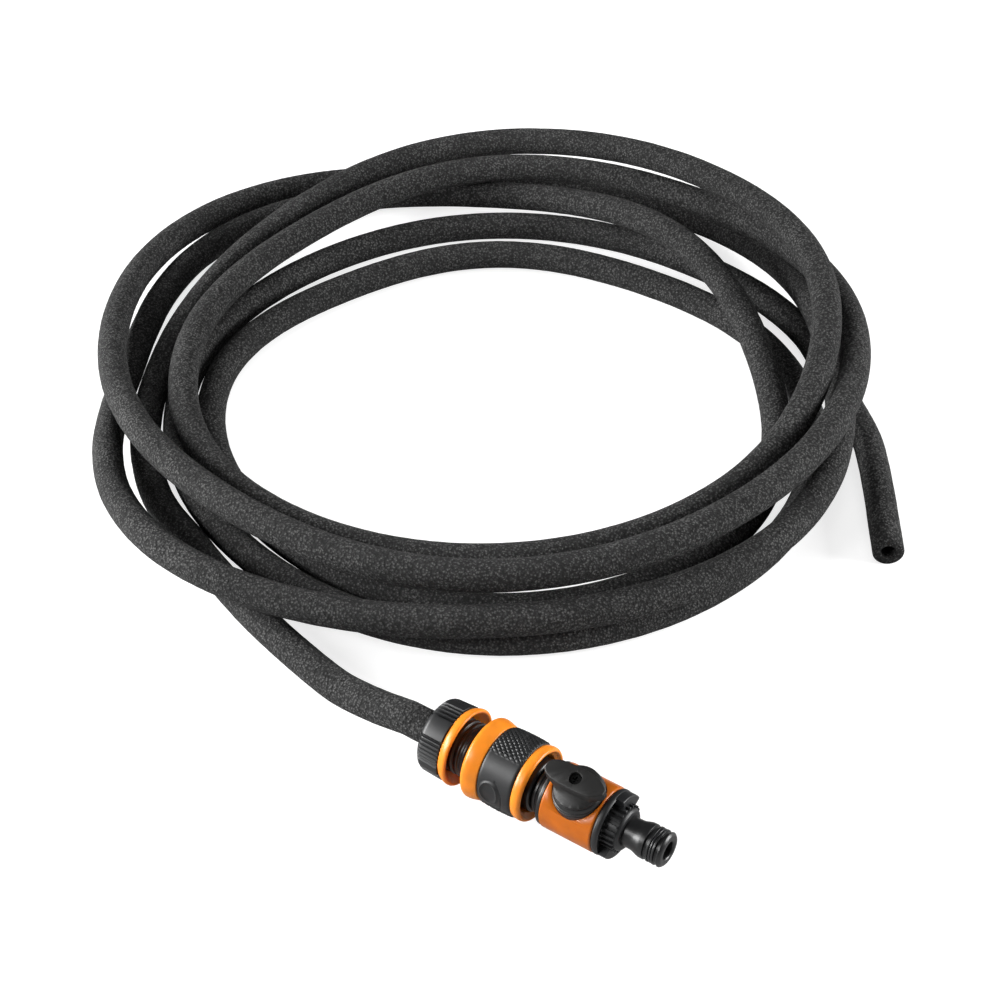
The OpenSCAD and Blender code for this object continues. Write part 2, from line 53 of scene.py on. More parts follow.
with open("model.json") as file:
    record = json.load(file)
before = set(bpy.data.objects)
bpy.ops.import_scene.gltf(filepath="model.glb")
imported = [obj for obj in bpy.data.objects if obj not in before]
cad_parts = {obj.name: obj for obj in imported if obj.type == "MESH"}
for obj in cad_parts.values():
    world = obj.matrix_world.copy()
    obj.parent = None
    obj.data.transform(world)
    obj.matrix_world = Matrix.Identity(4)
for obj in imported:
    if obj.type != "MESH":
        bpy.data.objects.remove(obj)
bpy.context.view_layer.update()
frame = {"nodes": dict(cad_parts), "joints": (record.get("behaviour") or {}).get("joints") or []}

MM = 0.001
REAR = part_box("nut_grip")[0].x
AXIS_Z = sum(corner.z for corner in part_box("release_sleeve")) / 2
STEM = next(joint for joint in frame["joints"] if joint["name"] == "handle_turn")
STEM_FOOT = Vector(STEM["pos_m"])
STEM_AXIS = Vector(STEM["axis"]).normalized()


def stations(node):
    """Where a piece begins and ends along the fittings, in mm from the rear of the nut."""
    low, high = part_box(node)
    return (low.x - REAR) / MM, (high.x - REAR) / MM


def radius(node):
    """Outer radius of a piece that is turned about the flow axis, in mm."""
    low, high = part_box(node)
    return (high.y - low.y) / 2 / MM


NUT_FRONT = stations("union_nut")[1]
NUT_GRIP_FRONT = stations("nut_grip")[1]
SLEEVE_REAR, MOUTH = stations("release_sleeve")
SLEEVE_GRIP_REAR, SLEEVE_GRIP_FRONT = stations("sleeve_grip")
BODY_FRONT = stations("connector_body")[1]
JAW_REAR, JAW_FRONT = stations("jaw_near")
PLUG_REAR = stations("valve_body")[0]
SHELL_REAR, SHELL_FRONT = stations("valve_shell")
CAP_HUB_FRONT = stations("end_cap")[1]
TIP = stations("inlet_nipple")[1]
NUT_GRIP_R = radius("nut_grip")
NUT_LIP_R = radius("union_nut")
RING_R = radius("release_sleeve")
SHELL_R = radius("valve_shell")
NIPPLE_R = radius("inlet_nipple")

# The hose, point by point, in metres: out of the nut, round the coil, and on to its open end.
HOSE_START = (-0.0408, 0.0, AXIS_Z)
LEAD_ROUTE = [
    (-0.0738, 0.0, 0.0192), (-0.0758, 0.0, 0.0192), (-0.097, 0.0015, 0.014), (-0.120, 0.005, 0.009),
    (-0.141, 0.0095, 0.008), (-0.1655, 0.0155, 0.008), (-0.1895, 0.0225, 0.008),
]
TAIL_ROUTE = [
    (-0.0098, 0.3157, 0.008), (0.0042, 0.2977, 0.008), (0.0172, 0.2787, 0.008), (0.030, 0.259, 0.008),
]
TAIL_END = (0.043, 0.239, 0.008)

# The coil: its middle, the way towards its first point, and at every eighth of a turn how far each
# loop reaches and how high it lies above the ground, one row a loop, clockwise from above.
COIL_MIDDLE = (-0.2068, 0.2487)
COIL_FROM = 260.0
COIL_REACH = [
    [0.209, 0.184, 0.180, 0.214, 0.192, 0.181, 0.179, 0.177],
    [0.178, 0.166, 0.160, 0.181, 0.191, 0.196, 0.200, 0.208],
    [0.196, 0.208, 0.229, 0.204, 0.200, 0.185, 0.212, 0.221],
    [0.232, 0.201, 0.212, 0.178, 0.146, 0.147, 0.182, 0.194],
    [0.171, 0.149, 0.120, 0.120, 0.128, 0.165, 0.203, 0.215],
    [0.191, 0.167, 0.150, 0.152, 0.162, 0.187],
]
COIL_RISE = [
    [0.000, 0.000, 0.016, 0.022, 0.040, 0.047, 0.026, 0.017],
    [0.018, 0.017, 0.018, 0.023, 0.022, 0.034, 0.037, 0.034],
    [0.028, 0.019, 0.006, 0.000, 0.002, 0.020, 0.016, 0.017],
    [0.017, 0.001, 0.000, 0.006, 0.026, 0.015, 0.000, 0.000],
    [0.000, 0.000, 0.000, 0.000, 0.000, 0.000, 0.000, 0.000],
    [0.000, 0.000, 0.000, 0.000, 0.000, 0.000],
]

# The camera: where it stands, how far it turns and looks down, and its lens.
CAMERA_AT = (0.3463, -0.5301, 0.704)
CAMERA_TURN = 35.1
CAMERA_DOWN = 39.5
CAMERA_LENS = 76.57


# ---- Settings ----

def length(name, description, default, low, high):
    """A size in metres that the panel shows in its own unit."""
    return bpy.props.FloatProperty(
        name=name, description=description, default=default, min=low, max=high,
        precision=4, subtype="DISTANCE", unit="LENGTH",
    )


def colour(name, description, default):
    """A plain colour."""
    return bpy.props.FloatVectorProperty(
        name=name, description=description, default=default, size=3, min=0, max=1, subtype="COLOR",
    )


def share(name, description, default, high=1.0):
    """A plain number from nothing up."""
    return bpy.props.FloatProperty(
        name=name, description=description, default=default, min=0, max=high, subtype="FACTOR",
    )


def power(name, description, default):
    """A lamp's power in watts."""
    return bpy.props.FloatProperty(name=name, description=description, default=default, min=0, unit="POWER")


class SOAKER_PG_hose(bpy.types.PropertyGroup):
    """Sizes and look of the porous hose"""

    diameter: length("Diameter", "Outside diameter of the hose", 0.016, 0.012, 0.020)
    bore: length("Bore", "Inside diameter of the hose", 0.0076, 0.005, 0.010)
    grain: length("Grain", "Size of the rubber's crumbs", 0.0013, 0.0004, 0.003)
    grain_height: length("Grain height", "How far the crumbs stand out", 0.0009, 0.0, 0.002)
    wobble: length("Wobble", "Unevenness of the skin", 0.00016, 0.0, 0.0006)
    rubber: colour("Rubber", "Colour between the crumbs", (0.007, 0.007, 0.007))
    crumb: colour("Crumb", "Colour of the crumbs", (0.027, 0.027, 0.027))
    speckle: colour("Speckle", "Colour of the lightest crumbs", (0.110, 0.110, 0.108))


class SOAKER_PG_finish(bpy.types.PropertyGroup):
    """Colours and finishes of the fittings"""

    orange: colour("Orange", "Colour of the rings and the nut", (0.86, 0.255, 0.018))
    shell_orange: colour("Shell orange", "Colour of the valve's shell", (0.47, 0.112, 0.004))
    black: colour("Black", "Colour of the moulded bodies", (0.006, 0.0062, 0.0066))
    grip: colour("Grip", "Colour of the soft grips", (0.009, 0.0094, 0.0102))
    gloss: share("Gloss roughness", "Roughness of the orange plastic", 0.30)
    satin: share("Satin roughness", "Roughness of the black plastic", 0.36)
    soft: share("Grip roughness", "Roughness of the grips", 0.46)


class SOAKER_PG_stage(bpy.types.PropertyGroup):
    """Floor, light and camera"""

    floor: colour("Floor", "Colour of the floor", (0.48, 0.48, 0.48))
    key: power("Key", "Power of the key light", 60.0)
    fill: power("Fill", "Power of the small front light", 10.0)
    top: power("Top", "Power of the top light", 9.0)
    rim: power("Rim", "Power of the rim light", 34.0)
    sky: share("Sky", "Strength of the light from all round", 0.13, 2.0)
    reflected: share("Reflected sky", "Strength of the sky that glossy pieces mirror", 0.12, 2.0)


# ---- Materials ----

# Start of each material's name, which keeps it apart from those that come with the solids.
OWN = "soaker_"


def fresh(name):
    """A new material with its node tree and its shader."""
    material = bpy.data.materials.new(OWN + name)
    material.use_nodes = True
    tree = material.node_tree
    return material, tree, tree.nodes["Principled BSDF"]


def add(tree, kind, inputs=None, **settings):
    """A node with its settings made and its inputs set or joined."""
    node = tree.nodes.new(kind)
    for key, value in settings.items():
        setattr(node, key, value)
    for key, value in (inputs or {}).items():
        if isinstance(value, bpy.types.NodeSocket):
            tree.links.new(value, node.inputs[key])
        else:
            node.inputs[key].default_value = value
    return node


def place(tree):
    """Coordinates in metres that stay with the piece."""
    return add(tree, "ShaderNodeTexCoord").outputs["Object"]


def grain(tree, size, detail=3.0, rough=0.55):
    """Noise whose features are about the given size, in metres."""
    return add(
        tree, "ShaderNodeTexNoise",
        {"Vector": place(tree), "Scale": 1 / size, "Detail": detail, "Roughness": rough},
    ).outputs["Fac"]


def crumbs(tree, size, feature="F1"):
    """Distance to the nearest crumb's middle, in shares of its size."""
    return add(
        tree, "ShaderNodeTexVoronoi", {"Vector": place(tree), "Scale": 1 / size}, feature=feature,
    ).outputs["Distance"]


def maths(tree, operation, first, second, clamp=False):
    """One sum with two terms."""
    return add(tree, "ShaderNodeMath", {0: first, 1: second}, operation=operation, use_clamp=clamp).outputs[0]


def ramp(tree, factor, stops):
    """Colours along a factor, from a list of (place, grey or colour)."""
    node = add(tree, "ShaderNodeValToRGB", {"Fac": factor})
    band = node.color_ramp
    while len(band.elements) < len(stops):
        band.elements.new(0.5)
    for element, (where, tone) in zip(band.elements, stops):
        element.position = where
        rgb = (tone,) * 3 if isinstance(tone, (int, float)) else tuple(tone)[:3]
        element.color = (*rgb, 1.0)
    return node.outputs["Color"]


def span(tree, factor, low, high):
    """A factor from 0 to 1 laid out between two numbers."""
    return add(
        tree, "ShaderNodeMapRange", {"Value": factor, "To Min": low, "To Max": high},
    ).outputs["Result"]


def raised(tree, height, distance, strength=1.0, normal=None):
    """Bumps of the given height, in metres."""
    inputs = {"Height": height, "Distance": distance, "Strength": strength}
    if normal is not None:
        inputs["Normal"] = normal
    return add(tree, "ShaderNodeBump", inputs).outputs["Normal"]


def tinted(tone, factor):
    """A colour made lighter or darker."""
    return tuple(min(1.0, channel * factor) for channel in tone)


def edge_wear_and_highlight(tree, amount):
    """How much an edge is lightened, from 0 to 1, broken up by noise: edge wear, and with a strong tint a
    painted edge highlight.
    """
    edge = add(tree, "ShaderNodeNewGeometry").outputs["Pointiness"]
    wear_and_highlight = span(tree, maths(tree, "SUBTRACT", edge, 0.53), 0.0, 1.0)
    sharp = maths(tree, "MULTIPLY", wear_and_highlight, 9.0, clamp=True)
    return maths(tree, "MULTIPLY", maths(tree, "MULTIPLY", sharp, grain(tree, 0.0012)), amount)


def moulded(name, tone, roughness, skin_height, skin_size, wear_and_highlight=0.0, specular=0.5, wear_and_highlight_tint=1.5):
    """Moulded plastic: a slightly uneven colour, a fine skin, soft waves, and lighter edges that are wear
    with a mild tint and a painted highlight with a strong one.
    """
    material, tree, shader = fresh(name)
    drift = grain(tree, 0.009, 2.0)
    body = ramp(tree, drift, [(0.3, tinted(tone, 0.88)), (0.7, tinted(tone, 1.12))])
    # Lighter edges: wear with a mild tint, and a painted edge highlight with a strong tint.
    edges = add(
        tree, "ShaderNodeMix",
        {"Factor": edge_wear_and_highlight(tree, wear_and_highlight), "A": body, "B": (*tinted(tone, wear_and_highlight_tint), 1.0)}, data_type="RGBA",
    ).outputs["Result"]
    tree.links.new(edges, shader.inputs["Base Color"])
    smears = grain(tree, 0.004, 4.0, 0.6)
    tree.links.new(span(tree, smears, roughness * 0.86, roughness * 1.16), shader.inputs["Roughness"])
    waves = raised(tree, grain(tree, 0.006, 1.0), 0.00006, 0.6)
    skin = raised(tree, grain(tree, skin_size, 2.0), skin_height, 0.8, waves)
    tree.links.new(skin, shader.inputs["Normal"])
    shader.inputs["Specular IOR Level"].default_value = specular
    return material


def orange_plastic(finish, name="orange_plastic", tone=None):
    """Glossy orange plastic that lets a little light through."""
    material = moulded(
        name, tuple(tone or finish.orange), finish.gloss,
        skin_height=0.00002, skin_size=0.0003, wear_and_highlight=0.3, specular=0.35,
    )
    shader = material.node_tree.nodes["Principled BSDF"]
    shader.inputs["Subsurface Weight"].default_value = 0.08
    shader.inputs["Subsurface Radius"].default_value = (1.0, 0.25, 0.08)
    shader.inputs["Subsurface Scale"].default_value = 0.0015
    return material


def black_plastic(finish):
    """Satin black plastic, with a painted highlight along its edges."""
    return moulded(
        "black_plastic", tuple(finish.black), finish.satin,
        skin_height=0.00001, skin_size=0.00035, wear_and_highlight=0.8, specular=0.6, wear_and_highlight_tint=4.0,
    )


def grip_plastic(finish):
    """Softer, greyer plastic with a fine spark-eroded skin and a painted highlight along its edges."""
    return moulded(
        "grip_plastic", tuple(finish.grip), finish.soft,
        skin_height=0.00002, skin_size=0.00045, wear_and_highlight=0.8, specular=0.55, wear_and_highlight_tint=4.0,
    )


def handle_plastic():
    """Matt plastic with a coarse skin, lighter along its edges: a painted highlight."""
    return moulded(
        "handle_plastic", (0.013, 0.0127, 0.0124), 0.5,
        skin_height=0.00006, skin_size=0.0007, wear_and_highlight=1.0, specular=0.35, wear_and_highlight_tint=4.0,
    )


def painted_shade_screw():
    """The handle's steel screw, near-black and matt: painted shade that makes the hole in the handle read as
    deep black.
    """
    return moulded(
        "screw_steel", (0.003, 0.003, 0.003), 0.6,
        skin_height=0.00003, skin_size=0.0004, wear_and_highlight=0.5, specular=0.12,
    )


def porous_rubber(hose):
    """Crumbs of old rubber bonded together: dark pores, grey crumbs and a few light speckles."""
    material, tree, shader = fresh("porous_rubber")
    size = hose.grain
    crumb = maths(tree, "SUBTRACT", 1.0, crumbs(tree, size))
    fine = grain(tree, size * 0.45, 2.0, 0.6)
    clumps = grain(tree, size * 3.5, 3.0, 0.6)
    height = maths(tree, "ADD", maths(tree, "MULTIPLY", crumb, 0.7), maths(tree, "MULTIPLY", fine, 0.8))
    height = maths(tree, "ADD", height, maths(tree, "MULTIPLY", clumps, 0.25))
    tone = maths(tree, "ADD", maths(tree, "MULTIPLY", height, 0.72), -0.28)
    drift = maths(tree, "MULTIPLY", grain(tree, 0.03, 2.0), 0.16)
    skin = ramp(
        tree, maths(tree, "ADD", tone, drift),
        [(0.32, tuple(hose.rubber)), (0.48, tuple(hose.crumb)), (0.66, tuple(hose.speckle))],
    )
    tree.links.new(skin, shader.inputs["Base Color"])
    tree.links.new(span(tree, clumps, 0.72, 0.98), shader.inputs["Roughness"])
    tree.links.new(raised(tree, height, hose.grain_height), shader.inputs["Normal"])
    shader.inputs["Specular IOR Level"].default_value = 0.35
    return material


def cut_rubber(hose):
    """The hose's wall where it was cut: smoother and greyer, with small open pores."""
    material, tree, shader = fresh("cut_rubber")
    pores = crumbs(tree, hose.grain * 0.8)
    face = ramp(tree, pores, [(0.10, tinted(hose.rubber, 1.5)), (0.32, tinted(hose.crumb, 1.35))])
    tree.links.new(face, shader.inputs["Base Color"])
    tree.links.new(raised(tree, pores, 0.0002), shader.inputs["Normal"])
    shader.inputs["Roughness"].default_value = 0.7
    return material


def seal_rubber():
    """Smooth, slightly greasy sealing rubber."""
    return moulded("seal_rubber", (0.010, 0.010, 0.011), 0.34, skin_height=0.00001, skin_size=0.0003)


def spring_steel():
    """Drawn steel wire."""
    material, tree, shader = fresh("spring_steel")
    drawn = add(tree, "ShaderNodeMapping", {"Vector": place(tree), "Scale": (9000, 900, 900)}).outputs[0]
    lines = add(tree, "ShaderNodeTexNoise", {"Vector": drawn, "Scale": 1.0, "Detail": 3.0}).outputs["Fac"]
    tree.links.new(ramp(tree, lines, [(0.3, 0.42), (0.7, 0.62)]), shader.inputs["Base Color"])
    tree.links.new(span(tree, lines, 0.22, 0.42), shader.inputs["Roughness"])
    tree.links.new(raised(tree, lines, 0.00001), shader.inputs["Normal"])
    shader.inputs["Metallic"].default_value = 1.0
    return material


def give(piece, *materials):
    """Puts materials on a piece, whatever it had before."""
    piece.data.materials.clear()
    for material in materials:
        piece.data.materials.append(material)
    return piece


def the(name, make, *arguments):
    """The material of that name, made the first time it is asked for."""
    return bpy.data.materials.get(OWN + name) or make(*arguments)


# ---- Shapes ----

def rounded(outline, steps=4):
    """Points of a closed outline of (along, out, softness), with each corner softened by its own share."""
    points = []
    count = len(outline)
    for i, (along, out, soft) in enumerate(outline):
        here = Vector((along, out))
        if soft <= 0:
            points.append(here)
            continue
        before = Vector(outline[i - 1][:2]) - here
        after = Vector(outline[(i + 1) % count][:2]) - here
        begin = here + before.normalized() * min(soft, before.length * 0.48)
        end = here + after.normalized() * min(soft, after.length * 0.48)
        for k in range(steps + 1):
            t = k / steps
            points.append(begin * (1 - t) ** 2 + here * 2 * t * (1 - t) + end * t * t)
    return points


def divided(points, step):
    """An outline with no edge longer than a step."""
    fine = []
    for i, here in enumerate(points):
        after = points[(i + 1) % len(points)]
        parts = max(1, math.ceil((after - here).length / step))
        fine += [here.lerp(after, k / parts) for k in range(parts)]
    return fine


def on_flow(along, out, turn):
    """A point about the flow axis: station and radius in mm, and degrees from the top towards the front."""
    angle = math.radians(turn)
    return Vector((REAR + along * MM, -out * MM * math.sin(angle), AXIS_Z + out * MM * math.cos(angle)))


STEM_SIDE = STEM_AXIS.cross(Vector((1, 0, 0)))


def on_stem(along, side, height):
    """A point about the stem: along the flow, across it and above the flow axis, in mm."""
    return STEM_FOOT + Vector((1, 0, 0)) * along * MM + STEM_SIDE * side * MM + STEM_AXIS * height * MM


def about_stem(height, out, turn):
    """A point about the stem's axis: height and radius in mm, and degrees."""
    angle = math.radians(turn)
    return on_stem(out * math.cos(angle), out * math.sin(angle), height)


def grid_faces(rows, columns, close_rows=True, close_columns=True):
    """Quads over a grid of points, closed round either way."""
    faces = []
    for i in range(rows if close_rows else rows - 1):
        for k in range(columns if close_columns else columns - 1):
            a, b = i * columns, ((i + 1) % rows) * columns
            c, d = k, (k + 1) % columns
            faces.append((a + c, b + c, b + d, a + d))
    return faces


def solid(name, points, faces, sharp=38.0):
    """A mesh piece with outward faces, smooth but for its sharp edges."""
    mesh = bpy.data.meshes.new(name)
    mesh.from_pydata([tuple(p) for p in points], [], faces)
    shape = bmesh.new()
    shape.from_mesh(mesh)
    bmesh.ops.recalc_face_normals(shape, faces=shape.faces)
    shape.to_mesh(mesh)
    shape.free()
    mesh.polygons.foreach_set("use_smooth", [True] * len(mesh.polygons))
    mesh.set_sharp_from_angle(angle=math.radians(sharp))
    piece = bpy.data.objects.new(name, mesh)
    bpy.context.scene.collection.objects.link(piece)
    return piece


def turned(name, outline, segments=144, about=on_flow, shape=None, step=None, sharp=38.0):
    """A piece turned about an axis from a closed outline. A shape function may move each point."""
    ring = rounded(outline)
    if step:
        ring = divided(ring, step)
    points = []
    for along, out in ring:
        for k in range(segments):
            turn = 360 * k / segments
            points.append(about(*(shape(along, out, turn) if shape else (along, out)), turn))
    return solid(name, points, grid_faces(len(ring), segments), sharp)


def wedge(name, along, out, turn, soft=0.5, steps=14):
    """A block bent round the flow axis, between two stations, two radii and two turns."""
    ring = rounded([
        (along[0], out[0], soft), (along[1], out[0], soft),
        (along[1], out[1], soft), (along[0], out[1], soft),
    ], 3)
    points = [
        on_flow(a, o, turn[0] + (turn[1] - turn[0]) * k / steps)
        for k in range(steps + 1) for a, o in ring
    ]
    faces = grid_faces(steps + 1, len(ring), close_rows=False)
    last = steps * len(ring)
    faces.append(tuple(range(len(ring))))
    faces.append(tuple(range(last + len(ring) - 1, last - 1, -1)))
    return solid(name, points, faces)


def joined(name, *parts):
    """Several meshes as one piece."""
    shape = bmesh.new()
    for part in parts:
        shape.from_mesh(part.data)
        bpy.data.objects.remove(part)
    mesh = bpy.data.meshes.new(name)
    shape.to_mesh(mesh)
    shape.free()
    piece = bpy.data.objects.new(name, mesh)
    bpy.context.scene.collection.objects.link(piece)
    return piece


def baked(piece):
    """The piece with its modifiers worked into its mesh."""
    result = bpy.data.meshes.new_from_object(piece.evaluated_get(bpy.context.evaluated_depsgraph_get()))
    piece.modifiers.clear()
    piece.data = result
    return piece


def cut(piece, cutter, edge=0.3, angle=38.0):
    """Cuts one mesh out of another and softens the sharp edges."""
    minus = piece.modifiers.new("cut", "BOOLEAN")
    minus.operation = "DIFFERENCE"
    minus.object = cutter
    minus.solver = "EXACT"
    if edge:
        bevel = piece.modifiers.new("edge", "BEVEL")
        bevel.width = edge * MM
        bevel.segments = 2
        bevel.limit_method = "ANGLE"
        bevel.angle_limit = math.radians(angle)
        bevel.harden_normals = True
    baked(piece)
    bpy.data.objects.remove(cutter)
    piece.data.polygons.foreach_set("use_smooth", [True] * len(piece.data.polygons))
    piece.data.set_sharp_from_angle(angle=math.radians(angle))
    return piece


def settle(piece, body, slot, *nodes):
    """Lets a piece ride on its body and stand for its solids. The slot it is given is not used."""
    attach(piece, body)
    if nodes:
        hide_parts(*nodes)
    return piece


def bump_curve(offset, half_width):
    """A smooth hump: 1 in the middle, 0 beyond the half width."""
    t = max(0.0, 1 - abs(offset) / half_width)
    return t * t * (3 - 2 * t)


def around(turn, centre):
    """Degrees from a centre, the short way round."""
    return (turn - centre + 180) % 360 - 180


# ---- Hose ----

def smooth(row, s):
    """Smooth curve through a row of values, at s steps from the first."""
    last = len(row) - 1
    i = min(math.floor(s), last - 1)
    t = s - i
    a, b, c, d = row[max(i - 1, 0)], row[i], row[i + 1], row[min(i + 2, last)]
    return (2 * b + (c - a) * t + (2 * a - 5 * b + 4 * c - d) * t ** 2 + (3 * b - a - 3 * c + d) * t ** 3) / 2


def coil_points(diameter, per_eighth=4):
    """Points along the coil's middle line, with a straight run of one diameter at each end."""
    reach = [r for row in COIL_REACH for r in row]
    rise = [h for row in COIL_RISE for h in row]
    points = []
    for k in range((len(reach) - 1) * per_eighth + 1):
        s = k / per_eighth
        turn = math.radians(COIL_FROM - 45 * s)
        out = smooth(reach, s)
        points.append(Vector((
            COIL_MIDDLE[0] + out * math.cos(turn),
            COIL_MIDDLE[1] + out * math.sin(turn),
            diameter / 2 + max(0.0, smooth(rise, s)),
        )))
    for end, inner in ((0, 1), (-1, -2)):
        run = (points[end] - points[inner]).normalized() * diameter
        run.z = 0
        points.insert(0, points[0] + run) if end == 0 else points.append(points[-1] + run)
    return points


def hose_line(diameter, step=0.0025):
    """The hose's middle line from the nut to its open end, with even steps."""
    corners = [Vector(HOSE_START), *(Vector(p) for p in LEAD_ROUTE), *coil_points(diameter),
               *(Vector(p) for p in TAIL_ROUTE), Vector(TAIL_END)]
    line = [corners[0].copy()]
    for i in range(len(corners) - 1):
        a, b = corners[max(i - 1, 0)], corners[i]
        c, d = corners[i + 1], corners[min(i + 2, len(corners) - 1)]
        span_length = (c - b).length
        before = (b - a).normalized() * span_length if i else (c - b)
        lead = (c - a).normalized() * span_length
        trail = (d - b).normalized() * span_length
        parts = max(1, round(span_length / step))
        for k in range(1, parts + 1):
            t = k / parts
            line.append(
                b * (2 * t ** 3 - 3 * t ** 2 + 1) + (lead if i else before) * (t ** 3 - 2 * t ** 2 + t)
                + c * (3 * t ** 2 - 2 * t ** 3) + trail * (t ** 3 - t ** 2)
            )
    return line


def ring_about(line, i, out, sides):
    """A ring of points square to the line at its point i, with a radius for each point."""
    along = (line[min(i + 1, len(line) - 1)] - line[max(i - 1, 0)]).normalized()
    side = along.cross(Vector((0, 0, 1))).normalized()
    up = side.cross(along)
    ring = []
    for k in range(sides):
        angle = 2 * math.pi * k / sides
        direction = side * math.sin(angle) + up * math.cos(angle)
        ring.append((direction, line[i] + direction * out))
    return ring


def hose_mesh(name, settings, sides=36, bore_depth=0.014):
    """The whole hose as one tube, with its cut end and the start of its bore."""
    line = hose_line(settings.diameter)
    skin = settings.diameter / 2
    points = []
    for i in range(len(line)):
        for direction, at in ring_about(line, i, skin, sides):
            uneven = noise.noise(at * 260) * 0.6 + noise.noise(at * 70) * 0.4
            points.append(at + direction * settings.wobble * uneven)
    rows = len(line)
    inner = settings.bore / 2
    backwards = (line[-2] - line[-1]).normalized()
    ends = [(skin - 0.0003, 0.0), (inner + 0.0002, 0.0), (inner, 0.0003), (inner, bore_depth)]
    for out, depth in ends:
        for direction, at in ring_about(line, len(line) - 1, out, sides):
            points.append(at + backwards * (depth - 0.0004 * (depth == 0.0)))
    rows += len(ends)
    faces = grid_faces(rows, sides, close_rows=False)
    faces.append(tuple(range(sides)))
    faces.append(tuple(range((rows - 1) * sides, rows * sides)))
    piece = solid(name, points, faces, 60.0)
    cut_from = (len(line) - 1) * sides
    for polygon in piece.data.polygons:
        if min(polygon.vertices) >= cut_from:
            polygon.material_index = 1
    return piece, line


class SOAKER_OT_hose(bpy.types.Operator):
    """Build the porous hose with its loops and its open end"""

    bl_idname = "soaker.hose"
    bl_label = "Hose"

    def execute(self, context):
        settings = context.scene.soaker_hose
        piece, line = hose_mesh("porous_hose", settings)
        give(piece, porous_rubber(settings), cut_rubber(settings))
        settle(piece, "hose", "hose_rubber", "hose_lead", "hose_coil", "hose_tail")
        return {"FINISHED"}


# ---- Nut ----

# Where the grip's grooves sit, in degrees within each third of a turn.
BOLD_GROOVES = [-9.0, -1.5, 6.0, 13.5]
FINE_GROOVES = [51.0, 57.5, 64.0, 70.5, 77.0, 83.5, 90.0]


def nut_ribs(along, out, turn):
    """The nut's grip: bold grooves, a smooth panel and fine grooves, three times round."""
    if out < NUT_GRIP_R - 3.2:
        return along, out
    depth = 0.0
    for centre in BOLD_GROOVES:
        depth += 1.9 * bump_curve(around(turn * 3, centre * 3) / 3, 3.2)
    for centre in FINE_GROOVES:
        depth += 0.9 * bump_curve(around(turn * 3, centre * 3) / 3, 2.6)
    return along, out - depth


class SOAKER_OT_nut(bpy.types.Operator):
    """Build the union nut: an orange core with a flared lip, and its black grip"""

    bl_idname = "soaker.nut"
    bl_label = "Union nut"

    def execute(self, context):
        finish = context.scene.soaker_finish
        core = NUT_GRIP_R - 2.6
        lip = NUT_LIP_R
        front, grip = NUT_FRONT, NUT_GRIP_FRONT
        nut = turned("union_nut_core", [
            (3.2, 8.8, 0.2), (1.4, 8.8, 0.2), (1.4, core - 1.0, 0.2), (2.4, core, 0.2), (grip, core, 0),
            (grip + 0.1, lip - 1.5, 0.2), (grip + 2.0, lip - 0.4, 1.2), (front - 0.9, lip, 0.6),
            (front, lip - 0.5, 0.6), (front - 0.1, lip - 1.5, 0.6), (front - 1.6, lip - 2.6, 0.8),
            (front - 4.2, 13.8, 1.0), (front - 5.0, 13.0, 0.2), (6.6, 13.0, 0.2),
        ])
        give(nut, the("orange_plastic", orange_plastic, finish))
        settle(nut, "nut", "orange_plastic", "union_nut")
        out = NUT_GRIP_R
        grip_piece = turned("union_nut_grip", [
            (0.0, 9.7, 0.3), (0.0, out - 3.4, 0.6), (1.9, out - 0.5, 1.6), (grip - 0.1, out + 0.02, 0.35),
            (grip - 0.05, core + 0.05, 0.2), (2.4, core + 0.05, 0), (1.3, core - 1, 0), (1.3, 9.7, 0.2),
        ], segments=720, shape=nut_ribs)
        give(grip_piece, the("grip_plastic", grip_plastic, finish))
        settle(grip_piece, "nut", "grip_plastic", "nut_grip")
        return {"FINISHED"}


# ---- Connector ----

class SOAKER_OT_connector(bpy.types.Operator):
    """Build the connector's threaded body and its jaws"""

    bl_idname = "soaker.connector"
    bl_label = "Connector body"

    def execute(self, context):
        finish = context.scene.soaker_finish
        black = the("black_plastic", black_plastic, finish)
        guide = radius("connector_body")
        thread = guide - 0.25
        web = SLEEVE_REAR - 0.9
        spring = [SLEEVE_GRIP_REAR + 0.8, SLEEVE_GRIP_REAR + 13.8]
        root = thread - 0.8
        outline = [(20.0, 8.2, 0), (12.5, 8.2, 0), (12.5, 11.4, 0), (8.6, 11.4, 0.2), (8.6, root, 0.3)]
        for turn in range(5):
            low = 8.5 + 3.0 * turn
            outline += [
                (low + 0.6, root, 0.2), (low + 1.1, thread, 0.25),
                (low + 2.1, thread, 0.25), (low + 2.6, root, 0.2),
            ]
        outline += [
            (web + 0.5, root, 0.2), (web + 1.0, guide, 0.3), (spring[0], guide, 0.3), (spring[0], 10.9, 0),
            (spring[1], 10.9, 0), (spring[1] + 1, 12.3, 0), (BODY_FRONT - 0.9, 12.3, 0.5),
            (BODY_FRONT, 11.4, 0.5), (BODY_FRONT, 9.2, 0.4), (BODY_FRONT - 0.8, 8.45, 0.4),
            (PLUG_REAR - 1.0, 8.45, 0), (PLUG_REAR - 1.0, 4.2, 0), (web + 1, 4.2, 0), (20.0, 2.8, 0),
        ]
        body = turned("connector_shell", outline)
        give(body, black)
        settle(body, "hose", "black_plastic", "connector_body")
        for name in ("jaw_near", "jaw_far"):
            give(frame["nodes"][name], black)
        return {"FINISHED"}


# ---- Release sleeve ----

# Where the near pad sits, in degrees from the top towards the front, and the grip's radius in mm.
PAD_TURN = 88.0
SLEEVE_GRIP_R = 17.8
# The spring's wire, as a radius in mm, and its curls.
SPRING_WIRE = 0.55
SPRING_CURLS = 5


